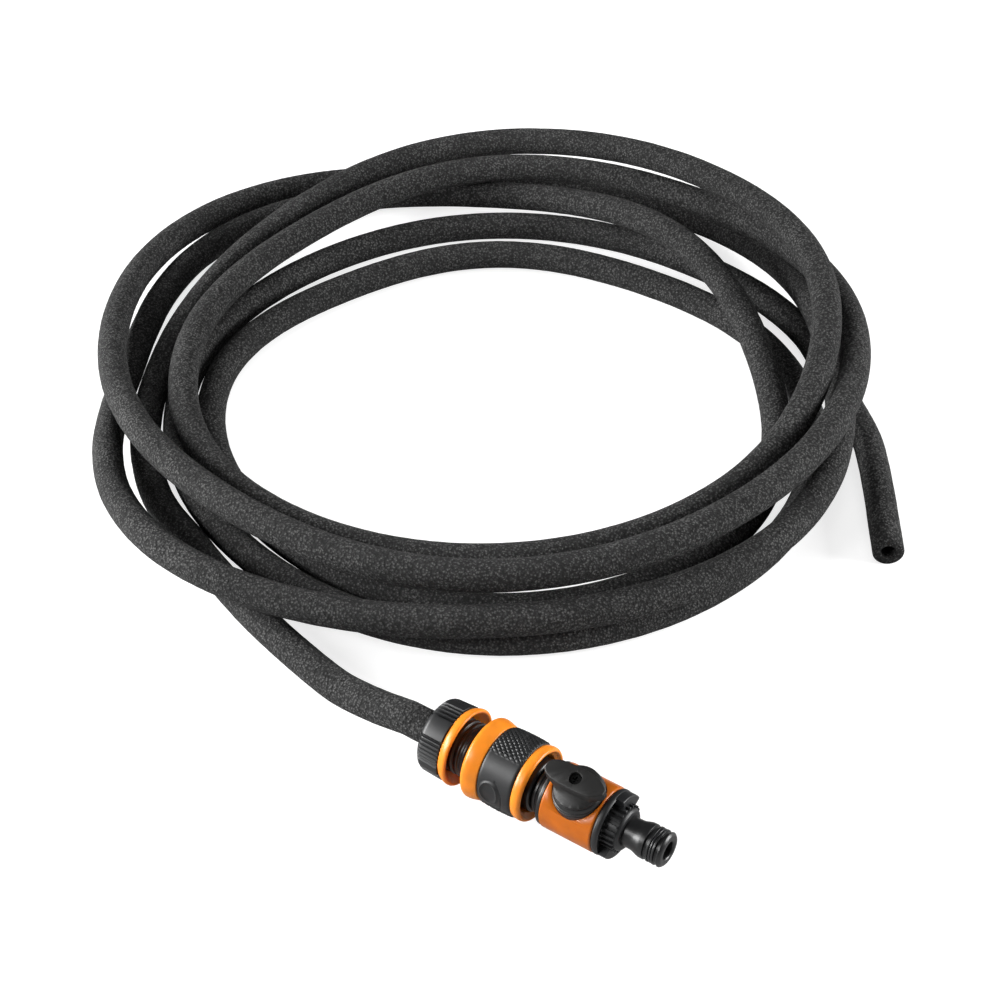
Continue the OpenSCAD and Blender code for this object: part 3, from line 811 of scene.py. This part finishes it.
def scales(along, out, turn):
    """Rows of diamond scales over the top and the underside, which end in a row of dots."""
    lift = 0.0
    for centre in (-18.0, 162.0):
        off = around(turn, centre)
        if abs(off) > 46:
            continue
        arc = math.radians(off) * out
        across, down = (along - SLEEVE_GRIP_REAR) / 2.9, arc / 2.3
        u, v = (across + down) % 1.0 - 0.5, (across - down) % 1.0 - 0.5
        peak = max(0.0, 1 - 2.3 * max(abs(u), abs(v)))
        inside = bump_curve(along - (SLEEVE_GRIP_REAR + SLEEVE_GRIP_FRONT) / 2, 9.2) ** 0.25
        fade = min(1.0, max(0.0, (46 - abs(off)) / 8))
        lift += 0.65 * min(1.0, 1.8 * peak) * inside * fade
    return lift


def pads(along, out, turn):
    """An oval pad on each side, sunk a little and with a raised rim."""
    middle = SLEEVE_GRIP_REAR + 6.6
    lift = 0.0
    for centre in (PAD_TURN, PAD_TURN + 180):
        arc = math.radians(around(turn, centre)) * out
        reach = math.hypot((along - middle) / 4.4, arc / 5.6)
        lift += 0.42 * bump_curve(reach - 1.0, 0.22)
        if reach < 1.0:
            lift -= 0.30 * (1 - reach ** 4)
        crease = math.hypot((along - middle + 3.0) / 9.6, (arc - 2.0) / 11.0)
        if along > middle + 2.0 and abs(arc) < 8.5:
            lift -= 0.35 * bump_curve(crease - 1.0, 0.07)
    return lift


def sleeve_skin(along, out, turn):
    """The sleeve grip's outside, with its scales and pads."""
    if out < SLEEVE_GRIP_R - 1.2:
        return along, out
    return along, out + scales(along, out, turn) + pads(along, out, turn)


def coiled_wire(name, rear, front, out, wire, turns, sides=10, per_turn=28):
    """A wire wound round the flow axis between two stations, with both ends closed."""
    count = turns * per_turn
    line = [
        on_flow(rear + wire + (front - rear - 2 * wire) * k / count, out, 360 * k / per_turn)
        for k in range(count + 1)
    ]
    points = [at for i in range(count + 1) for _, at in ring_about(line, i, wire * MM, sides)]
    faces = grid_faces(count + 1, sides, close_rows=False)
    faces += [tuple(range(sides)), tuple(range(count * sides, (count + 1) * sides))]
    return solid(name, points, faces, 60.0)


class SOAKER_OT_sleeve(bpy.types.Operator):
    """Build the release sleeve: two orange rings, the black grip between them and the spring inside"""

    bl_idname = "soaker.sleeve"
    bl_label = "Release sleeve"

    def execute(self, context):
        finish = context.scene.soaker_finish
        rear, front = SLEEVE_REAR, MOUTH
        grip_rear, grip_front = SLEEVE_GRIP_REAR, SLEEVE_GRIP_FRONT
        ring = RING_R
        core, mouth, bore, cam, guide = 16.2, 17.8, 16.0, 12.4, 13.23
        spring = SLEEVE_GRIP_REAR + 13.8
        rings = turned("release_sleeve_rings", [
            (rear, 14.4, 0.6), (rear, ring - 1.7, 1.0), (rear + 1.5, ring, 1.3),
            (rear + 3.9, ring - 0.05, 1.6), (grip_rear, ring - 1.3, 0.5), (grip_rear, core, 0),
            (grip_front, core, 0), (grip_front, mouth - 0.6, 0.4), (grip_front + 1.7, mouth, 1.2),
            (front - 1.2, mouth, 1.0), (front, mouth - 0.9, 0.8), (front - 0.1, bore + 0.1, 0.5),
            (front - 1.2, bore - 0.8, 0.6), (JAW_FRONT + 1.0, cam + 1.6, 0.2), (JAW_REAR - 1.5, cam, 0.2),
            (spring, cam, 0), (spring, guide, 0), (rear + 1.2, guide, 0.3),
        ])
        give(rings, the("orange_plastic", orange_plastic, finish))
        settle(rings, "sleeve", "orange_plastic", "release_sleeve")
        grip = SLEEVE_GRIP_R
        skin = turned("release_sleeve_grip", [
            (grip_rear, core + 0.05, 0), (grip_rear + 0.05, grip - 0.5, 0.3), (grip_rear + 0.9, grip, 0.8),
            (grip_front - 0.9, grip, 0.8), (grip_front - 0.05, grip - 0.5, 0.3), (grip_front, core + 0.05, 0),
        ], segments=640, shape=sleeve_skin, step=0.4)
        give(skin, the("grip_plastic", grip_plastic, finish))
        settle(skin, "sleeve", "grip_plastic", "sleeve_grip")
        held, pushed = stations("sleeve_spring")
        out = radius("sleeve_spring") - SPRING_WIRE
        wire = coiled_wire("sleeve_spring_wire", held, pushed, out, SPRING_WIRE, SPRING_CURLS)
        give(wire, spring_steel())
        settle(wire, "hose", "spring_steel", "sleeve_spring")
        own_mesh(wire)
        return {"FINISHED"}


# ---- Valve ----

# The saddle that carries the handle: its radius, and the height of its top above the flow axis.
SADDLE_R = 11.8
SADDLE_H = 17.2
# The plug's and the stop's radius, and how far the collar stands behind the shell.
PLUG_R = 8.35
STOP_R = 11.6
COLLAR = 2.4


class SOAKER_OT_valve(bpy.types.Operator):
    """Build the valve: a black body with a round saddle, and an orange shell cut out round it"""

    bl_idname = "soaker.valve"
    bl_label = "Valve"

    def execute(self, context):
        finish = context.scene.soaker_finish
        black = the("black_plastic", black_plastic, finish)
        shell_r = SHELL_R
        inner = shell_r - 1.8
        at, plug = PLUG_REAR, PLUG_R
        stop, collar = BODY_FRONT + 0.5, SHELL_REAR - COLLAR
        rear, front = SHELL_REAR, SHELL_FRONT
        chamber = stations("outlet_seat")[0]
        tube = turned("valve_tube", [
            (at, 4.2, 0), (at, plug - 0.9, 0.3), (at + 0.9, plug, 0.4), (at + 3.0, plug, 0),
            (at + 3.0, 6.55, 0), (at + 5.2, 6.55, 0), (at + 5.2, plug, 0), (JAW_REAR - 0.4, plug, 0.2),
            (JAW_REAR - 0.4, 7.05, 0.2), (JAW_FRONT + 0.4, 7.05, 0.2), (JAW_FRONT + 1.2, plug, 0.2),
            (stop, plug, 0.3), (stop, STOP_R - 0.6, 0.4), (stop + 0.6, STOP_R, 0.4),
            (stop + 1.9, STOP_R, 0.2), (stop + 2.1, STOP_R - 0.5, 0.2), (stop + 2.6, STOP_R - 0.5, 0.2),
            (stop + 2.8, STOP_R, 0.2), (collar, STOP_R, 0.3), (collar, shell_r - 1.3, 0.4),
            (collar + 0.7, shell_r - 0.4, 0.6), (rear - 0.1, shell_r - 0.35, 0.2), (rear, inner, 0),
            (front, inner, 0), (front, 9.2, 0), (chamber, 9.2, 0), (chamber, 4.2, 0),
        ])
        saddle = turned("valve_saddle", [
            (9.8, 4.0, 0), (9.8, SADDLE_R, 0), (13.0, SADDLE_R, 0.2), (13.2, SADDLE_R - 0.35, 0.15),
            (13.6, SADDLE_R - 0.35, 0.15), (13.8, SADDLE_R - 0.1, 0.15), (14.6, SADDLE_R - 0.3, 0.15),
            (14.8, SADDLE_R - 0.65, 0.15), (15.2, SADDLE_R - 0.65, 0.15), (15.4, SADDLE_R - 0.45, 0.15),
            (16.3, SADDLE_R - 0.9, 0.3), (SADDLE_H, SADDLE_R - 1.6, 0.5), (SADDLE_H, 3.1, 0),
            (11.5, 3.1, 0), (11.5, 4.0, 0),
        ], about=about_stem)
        body = joined("valve_body_shell", tube, saddle)
        give(body, black)
        settle(body, "valve", "black_plastic", "valve_body")
        shell = turned("valve_cover", [
            (rear, inner + 0.05, 0), (rear, shell_r - 0.5, 0.2), (rear + 0.6, shell_r, 0.5),
            (front - 0.7, shell_r, 0.5), (front - 0.1, shell_r - 0.5, 0.3), (front - 0.1, inner + 0.05, 0),
        ], segments=192)
        opening = turned("opening", [
            (4.0, 0.0, 0), (4.0, SADDLE_R + 0.1, 0), (24.0, SADDLE_R + 0.1, 0), (24.0, 0.0, 0),
        ], about=about_stem, segments=128)
        cut(shell, opening, edge=0.35)
        give(shell, orange_plastic(finish, "shell_plastic", finish.shell_orange))
        settle(shell, "valve", "orange_plastic", "valve_shell")
        return {"FINISHED"}


# ---- Handle ----

# Half of the handle's top, seen from above: along the flow and across it, in mm.
HANDLE_TOP = [
    (-14.8, 0.0), (-14.8, 1.7), (-13.2, 3.6), (-9.5, 5.0), (-5.0, 5.5), (0.0, 5.6), (6.0, 5.4), (9.6, 4.7),
    (12.4, 3.0), (14.6, 1.2), (14.6, 0.0),
]
# Height of the handle's top above the flow axis, and radius of its round foot, in mm.
HANDLE_H = 26.2
HANDLE_FOOT_R = 10.6
# The flank, from the round foot up: height above the flow axis, share of the foot's radius, and how far
# the shape has gone over into the top's outline.
HANDLE_FLANK = [
    (17.5, 1.0, 0.0), (18.4, 1.0, 0.0), (19.0, 0.93, 0.25 / 0.9), (20.2, 0.86, 0.60 / 0.9), (21.6, 0.8, 1.0),
]
# The rim of the top: height above the flow axis and share of the top's outline.
HANDLE_RIM = [(22.6, 0.9843), (25.3, 1.0), (25.9, 0.9843), (HANDLE_H, 0.9531)]


def handle_ring(points=120):
    """Even points round the handle's top, as (along, across)."""
    half = [Vector(p) for p in HANDLE_TOP]
    loop = half + [Vector((p.x, -p.y)) for p in reversed(half[1:-1])]
    lengths = [0.0]
    for i, here in enumerate(loop):
        lengths.append(lengths[-1] + (loop[(i + 1) % len(loop)] - here).length)
    ring, i = [], 0
    for k in range(points):
        at = lengths[-1] * k / points
        while lengths[i + 1] < at:
            i += 1
        t = (at - lengths[i]) / (lengths[i + 1] - lengths[i])
        ring.append(loop[i].lerp(loop[(i + 1) % len(loop)], t))
    return ring


class SOAKER_OT_handle(bpy.types.Operator):
    """Build the valve's handle and its screw"""

    bl_idname = "soaker.handle"
    bl_label = "Handle"

    def execute(self, context):
        top = handle_ring()
        sides = len(top)
        points = []
        for height, foot, share_of_top in HANDLE_FLANK:
            for spot in top:
                round_spot = spot.normalized() * HANDLE_FOOT_R * foot
                at = round_spot.lerp(spot, share_of_top)
                points.append(on_stem(at.x, at.y, height))
        for height, size in HANDLE_RIM:
            points += [on_stem(spot.x * size, spot.y * size, height) for spot in top]
        rows = len(HANDLE_FLANK) + len(HANDLE_RIM)
        faces = grid_faces(rows, sides, close_rows=False)
        faces.append(tuple(range(sides)))
        faces.append(tuple(range((rows - 1) * sides, rows * sides)))
        handle = solid("valve_handle", points, faces, 30.0)
        hole = turned("hole", [(22.4, 0.0, 0), (22.4, 2.9, 0), (30.0, 2.9, 0), (30.0, 0.0, 0)],
                      about=about_stem, segments=48)
        cut(handle, hole, edge=0.25, angle=30)
        give(handle, handle_plastic())
        settle(handle, "handle", "grip_plastic", "handle")
        # The screw's near-black matt finish is painted shade for the deep hole in the handle.
        give(frame["nodes"]["handle_screw"], painted_shade_screw())
        return {"FINISHED"}


# ---- Inlet ----

class SOAKER_OT_inlet(bpy.types.Operator):
    """Build the end cap, the inlet nipple and its seal"""

    bl_idname = "soaker.inlet"
    bl_label = "Inlet"

    def execute(self, context):
        finish = context.scene.soaker_finish
        black = the("black_plastic", black_plastic, finish)
        grip = the("grip_plastic", grip_plastic, finish)
        rim = SHELL_R
        rear, hub_front = SHELL_FRONT, CAP_HUB_FRONT
        hub = 10.4
        spigot = stations("inlet_seat")[1] + 0.1
        wings = hub_front - 3.4
        disc = turned("cap_disc", [
            (spigot, 6.95, 0), (spigot, 9.1, 0), (rear, 9.1, 0), (rear, rim - 0.7, 0.3),
            (rear + 0.7, rim, 0.5), (rear + 2.4, rim - 0.05, 0.6), (rear + 3.4, rim - 0.9, 0.4),
            (rear + 2.9, rim - 1.6, 0.3), (rear + 2.0, hub + 0.3, 0.6), (rear + 3.2, hub, 0.4),
            (hub_front - 1.2, hub - 0.4, 0.6), (hub_front - 0.2, hub - 1.2, 0.5), (hub_front, hub - 1.8, 0.3),
            (hub_front, 6.95, 0.2),
        ])
        lugs = [
            wedge(f"lug_{k}", (rear + 1.8, wings), (hub - 0.8, rim - 0.3), (turn - 31, turn + 31), 0.7)
            for k, turn in enumerate((-32, 148))
        ]
        along, out = (rear + 2.2, hub_front - 1.6), (hub - 0.9, hub + 0.8)
        ribs = [
            wedge(f"rib_{k}", along, out, (turn - 2.6, turn + 2.6), 0.3, 2)
            for k, turn in enumerate(range(0, 360, 15))
        ]
        cap = joined("inlet_cap", disc, *lugs, *ribs)
        give(cap, grip)
        settle(cap, "valve", "black_plastic", "end_cap")
        nipple = NIPPLE_R
        neck = nipple - 1.25
        at = TIP - 11.5
        outline = [
            (spigot + 0.1, 4.2, 0), (spigot + 0.1, neck, 0), (at - 3.6, neck, 1.4),
            (at - 0.8, nipple - 0.3, 0.8), (at + 0.4, nipple, 0.4),
        ]
        for groove in range(3):
            low = at + 2.6 + 2.7 * groove
            deep = 1.6 if groove == 1 else 1.2
            outline += [
                (low, nipple, 0.25), (low + 0.1, nipple - deep, 0.2),
                (low + 1.6, nipple - deep, 0.2), (low + 1.7, nipple, 0.25),
            ]
        outline += [
            (TIP - 1.2, nipple, 0.6), (TIP, nipple - 1.2, 0.6), (TIP, 4.9, 0.4), (TIP - 0.7, 4.2, 0.3),
        ]
        spout = turned("inlet_spout", outline)
        give(spout, black)
        settle(spout, "valve", "black_plastic", "inlet_nipple")
        give(frame["nodes"]["inlet_seal"], the("seal_rubber", seal_rubber))
        return {"FINISHED"}


# ---- Pieces inside ----

class SOAKER_OT_inside(bpy.types.Operator):
    """Finish the pieces inside: collet, ball, seats, stem and seals"""

    bl_idname = "soaker.inside"
    bl_label = "Pieces inside"

    def execute(self, context):
        finish = context.scene.soaker_finish
        black = the("black_plastic", black_plastic, finish)
        seal = the("seal_rubber", seal_rubber)
        pale = moulded("seat_plastic", (0.78, 0.78, 0.76), 0.4, skin_height=0.00002, skin_size=0.0004)
        ball = moulded("ball_plastic", (0.62, 0.62, 0.61), 0.2, skin_height=0.00001, skin_size=0.0004)
        dressed = {
            "hose_collet": black, "valve_stem": black, "ball": ball,
            "inlet_seat": pale, "outlet_seat": pale, "outlet_seal": seal, "stem_seal": seal,
        }
        for node, material in dressed.items():
            give(frame["nodes"][node], material)
        return {"FINISHED"}


# ---- Stage ----

# The lamps: where each stands, how wide and high it is, and whether glossy pieces mirror it.
LAMPS = {
    "key": ((-1.55, -0.70, 0.50), (1.2, 0.6), True),
    "fill": ((-0.60, -1.15, 0.95), (0.55, 0.40), True),
    "top": ((-0.35, 0.85, 1.7), (1.4, 1.4), False),
    "rim": ((1.15, 0.95, 0.55), (1.0, 0.5), True),
}
LIT_SPOT = (-0.1, 0.15, 0.02)
# How far the floor goes from the middle, in metres, and the strength of its own glow.
FLOOR_REACH = 12.0
FLOOR_GLOW = 0.76


def floor_material(stage):
    """A pale floor that looks white to the camera and keeps the object's shadow."""
    material, tree, shader = fresh("floor")
    shader.inputs["Base Color"].default_value = (*stage.floor, 1.0)
    shader.inputs["Roughness"].default_value = 0.9
    shader.inputs["Specular IOR Level"].default_value = 0.0
    rays = add(tree, "ShaderNodeLightPath").outputs
    seen = maths(tree, "MAXIMUM", rays["Is Camera Ray"], rays["Is Transmission Ray"])
    strength = maths(tree, "MULTIPLY", seen, FLOOR_GLOW)
    glow = add(tree, "ShaderNodeEmission", {"Color": (1, 1, 1, 1), "Strength": strength})
    both = add(tree, "ShaderNodeAddShader", {0: shader.outputs[0], 1: glow.outputs[0]})
    tree.links.new(both.outputs[0], tree.nodes["Material Output"].inputs["Surface"])
    return material


def softbox(name, at, aim, size, watts, mirrored):
    """A soft lamp that looks at a point. Glossy pieces may mirror it or not."""
    lamp = bpy.data.lights.new(name, "AREA")
    lamp.shape = "RECTANGLE"
    lamp.size, lamp.size_y = size
    lamp.energy = watts
    piece = bpy.data.objects.new(name, lamp)
    piece.location = at
    piece.visible_glossy = mirrored
    piece.rotation_euler = (Vector(aim) - Vector(at)).to_track_quat("-Z", "Y").to_euler()
    bpy.context.scene.collection.objects.link(piece)
    return piece


class SOAKER_OT_stage(bpy.types.Operator):
    """Set up the floor, the light and the camera"""

    bl_idname = "soaker.stage"
    bl_label = "Stage"

    def execute(self, context):
        scene = context.scene
        stage = scene.soaker_stage
        far = FLOOR_REACH
        corners = [(-far, -far, 0), (far, -far, 0), (far, far, 0), (-far, far, 0)]
        floor = solid("floor", corners, [(0, 1, 2, 3)])
        give(floor, floor_material(stage))
        for name, (at, size, mirrored) in LAMPS.items():
            softbox(name, at, LIT_SPOT, size, getattr(stage, name), mirrored)
        world = bpy.data.worlds.new("studio")
        world.use_nodes = True
        scene.world = world
        tree = world.node_tree
        rays = add(tree, "ShaderNodeLightPath").outputs
        seen = maths(tree, "MAXIMUM", rays["Is Camera Ray"], rays["Is Transmission Ray"])
        unseen = add(
            tree, "ShaderNodeMix", {"Factor": rays["Is Glossy Ray"], "A": stage.sky, "B": stage.reflected},
            data_type="FLOAT",
        ).outputs["Result"]
        strength = add(
            tree, "ShaderNodeMix", {"Factor": seen, "A": unseen, "B": 1.0}, data_type="FLOAT",
        ).outputs["Result"]
        tree.nodes["Background"].inputs["Color"].default_value = (1, 1, 1, 1)
        tree.links.new(strength, tree.nodes["Background"].inputs["Strength"])
        lens = bpy.data.cameras.new("camera")
        lens.lens = CAMERA_LENS
        lens.sensor_width = 36.0
        lens.clip_start, lens.clip_end = 0.01, 50.0
        camera = bpy.data.objects.new("camera", lens)
        camera.location = CAMERA_AT
        camera.rotation_euler = (math.radians(90 - CAMERA_DOWN), 0.0, math.radians(CAMERA_TURN))
        scene.collection.objects.link(camera)
        scene.camera = camera
        scene.view_settings.view_transform = "Standard"
        return {"FINISHED"}


# ---- Panel and registration ----

OPERATORS = (
    SOAKER_OT_hose, SOAKER_OT_nut, SOAKER_OT_connector, SOAKER_OT_sleeve, SOAKER_OT_valve,
    SOAKER_OT_handle, SOAKER_OT_inlet, SOAKER_OT_inside, SOAKER_OT_stage,
)


class SOAKER_PT_panel(bpy.types.Panel):
    """Lists the settings and the pieces"""

    bl_idname = "SOAKER_PT_panel"
    bl_label = "Soaker Hose"
    bl_space_type = "VIEW_3D"
    bl_region_type = "UI"
    bl_category = "Soaker Hose"

    def draw(self, context):
        layout = self.layout
        scene = context.scene
        for title in ("hose", "finish", "stage"):
            group = getattr(scene, "soaker_" + title)
            box = layout.box()
            box.label(text=title.capitalize())
            for name in group.__annotations__:
                box.prop(group, name)
        for operator in OPERATORS:
            layout.operator(operator.bl_idname)


GROUPS = {"soaker_hose": SOAKER_PG_hose, "soaker_finish": SOAKER_PG_finish, "soaker_stage": SOAKER_PG_stage}


def register():
    for group in GROUPS.values():
        bpy.utils.register_class(group)
    for cls in (*OPERATORS, SOAKER_PT_panel):
        bpy.utils.register_class(cls)
    for name, group in GROUPS.items():
        setattr(bpy.types.Scene, name, bpy.props.PointerProperty(type=group))


def unregister():
    for name in GROUPS:
        delattr(bpy.types.Scene, name)
    for cls in (SOAKER_PT_panel, *reversed(OPERATORS), *reversed(GROUPS.values())):
        bpy.utils.unregister_class(cls)


def main():
    """Builds every piece in order."""
    register()
    for operator in OPERATORS:
        group, name = operator.bl_idname.split(".")
        getattr(getattr(bpy.ops, group), name)()


if __name__ == "__main__":
    main()
